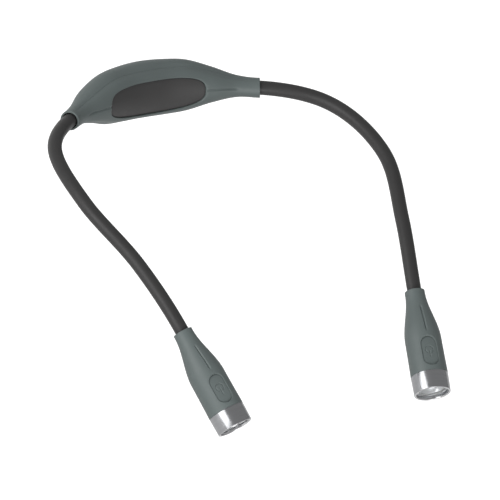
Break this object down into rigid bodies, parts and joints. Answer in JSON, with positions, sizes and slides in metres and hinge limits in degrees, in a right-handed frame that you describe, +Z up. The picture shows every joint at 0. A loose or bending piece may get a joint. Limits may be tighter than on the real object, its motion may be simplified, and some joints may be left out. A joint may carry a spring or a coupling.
{
  "type": "neck reading light",
  "caption": "Wearable reading light: curved battery housing for the back of the neck with flexible gooseneck arms that end in tapered lamp heads with push buttons.",
  "frame": {"origin": "centre of the footprint, on the table that the light lies on", "axes": "+Z up from the table, +Y towards the housing (the back of the neck), -Y towards the lamp heads, +X along the housing, to the wearer's left hand side when the light is put on facing -Y"},
  "size_m": [0.2082, 0.2546, 0.0484],
  "materials": {
    "grey_rubber": "matt soft-touch",
    "arm_rubber": "matt",
    "charcoal_plastic": "fine satin",
    "black_plastic": "moulded",
    "aluminium": "satin turned",
    "steel": "plain",
    "mirror": "mirror",
    "clear_lens": "clear",
    "circuit_board": "solder mask",
    "led": "phosphor",
    "cell": "plain wrap",
    "seal": "soft"
  },
  "bodies": {
    "housing": {"rear_cover": "grey_rubber", "neck_cover": "grey_rubber", "battery_tray": "black_plastic", "battery_cell_1": "cell", "battery_cell_2": "cell", "contact_bridge": "steel", "contact_plate_1": "steel", "contact_plate_2": "steel", "contact_spring_1": "steel", "contact_spring_2": "steel", "driver_board": "circuit_board", "left_case_screw": "steel", "right_case_screw": "steel", "left_arm_bend_1": "arm_rubber", "left_arm_core": "steel", "left_housing_collar": "steel", "right_arm_bend_1": "arm_rubber", "right_arm_core": "steel", "right_housing_collar": "steel"},
    "battery_door": {"battery_door": "charcoal_plastic"},
    "left_upper": {"left_arm_upper": "arm_rubber", "left_arm_bend_2": "arm_rubber"},
    "left_lower": {"left_arm_lower": "arm_rubber", "left_arm_bend_3": "arm_rubber"},
    "left_link": {"left_arm_link": "arm_rubber", "left_arm_bend_4": "arm_rubber"},
    "left_head": {"left_head_shell": "grey_rubber", "left_inner_barrel": "black_plastic", "left_bezel": "aluminium", "left_lens": "clear_lens", "left_lens_seal": "seal", "left_reflector": "mirror", "left_led_board": "circuit_board", "left_led": "led", "left_switch_board": "circuit_board", "left_push_switch": "black_plastic", "left_head_collar": "steel"},
    "left_button": {"left_button": "grey_rubber"},
    "right_upper": {"right_arm_upper": "arm_rubber", "right_arm_bend_2": "arm_rubber"},
    "right_lower": {"right_arm_lower": "arm_rubber", "right_arm_bend_3": "arm_rubber"},
    "right_link": {"right_arm_link": "arm_rubber", "right_arm_bend_4": "arm_rubber"},
    "right_head": {"right_head_shell": "grey_rubber", "right_inner_barrel": "black_plastic", "right_bezel": "aluminium", "right_lens": "clear_lens", "right_lens_seal": "seal", "right_reflector": "mirror", "right_led_board": "circuit_board", "right_led": "led", "right_switch_board": "circuit_board", "right_push_switch": "black_plastic", "right_head_collar": "steel"},
    "right_button": {"right_button": "grey_rubber"}
  },
  "joints": [
    {"name": "left_shoulder_spread", "type": "hinge", "parent": "housing", "child": "left_upper", "pos_m": [-0.07515, 0.08489, 0.03076], "axis": [0, -0.5809, -0.814], "range_deg": [-8, 30], "deforming": ["left_arm_bend_1", "left_arm_core"]},
    {"name": "left_elbow_lift", "type": "hinge", "parent": "left_upper", "child": "left_lower", "pos_m": [-0.10011, 0.02197, 0.04422], "axis": [-0.9995, -0.0257, 0.0183], "range_deg": [-30, 40], "deforming": ["left_arm_bend_2", "left_arm_core"]},
    {"name": "left_head_nod", "type": "hinge", "parent": "left_lower", "child": "left_link", "pos_m": [-0.08783, -0.02734, 0.04063], "axis": [-0.9393, -0.2794, 0.1994], "range_deg": [-40, 40], "deforming": ["left_arm_bend_3", "left_arm_core"]},
    {"name": "left_head_turn", "type": "hinge", "parent": "left_link", "child": "left_head", "pos_m": [-0.08098, -0.05346, 0.03388], "axis": [-0.2865, 0.2217, -0.9321], "range_deg": [-25, 35], "deforming": ["left_arm_bend_4", "left_arm_core"]},
    {"name": "left_button_press", "type": "slide", "parent": "left_head", "child": "left_button", "axis": [0.2492, 0.3645, -0.8972], "range_m": [0, 0.0005], "stiffness_N_per_m": 1500},
    {"name": "right_shoulder_spread", "type": "hinge", "parent": "housing", "child": "right_upper", "pos_m": [0.07515, 0.08489, 0.03076], "axis": [0, 0.5809, 0.814], "range_deg": [-8, 30], "deforming": ["right_arm_bend_1", "right_arm_core"]},
    {"name": "right_elbow_lift", "type": "hinge", "parent": "right_upper", "child": "right_lower", "pos_m": [0.10011, 0.02197, 0.04422], "axis": [-0.9995, 0.0257, -0.0183], "range_deg": [-30, 40], "deforming": ["right_arm_bend_2", "right_arm_core"]},
    {"name": "right_head_nod", "type": "hinge", "parent": "right_lower", "child": "right_link", "pos_m": [0.08783, -0.02734, 0.04063], "axis": [-0.9393, 0.2794, -0.1994], "range_deg": [-40, 40], "deforming": ["right_arm_bend_3", "right_arm_core"]},
    {"name": "right_head_turn", "type": "hinge", "parent": "right_link", "child": "right_head", "pos_m": [0.08098, -0.05346, 0.03388], "axis": [-0.2865, -0.2217, 0.9321], "range_deg": [-25, 35], "deforming": ["right_arm_bend_4", "right_arm_core"]},
    {"name": "right_button_press", "type": "slide", "parent": "right_head", "child": "right_button", "axis": [0.2457, 0.2741, -0.9298], "range_m": [0, 0.0005], "stiffness_N_per_m": 1500},
    {"name": "battery_door_lift_off", "type": "slide", "parent": "housing", "child": "battery_door", "axis": [0, -0.9055, 0.4244], "range_m": [0, 0.012]}
  ]
}
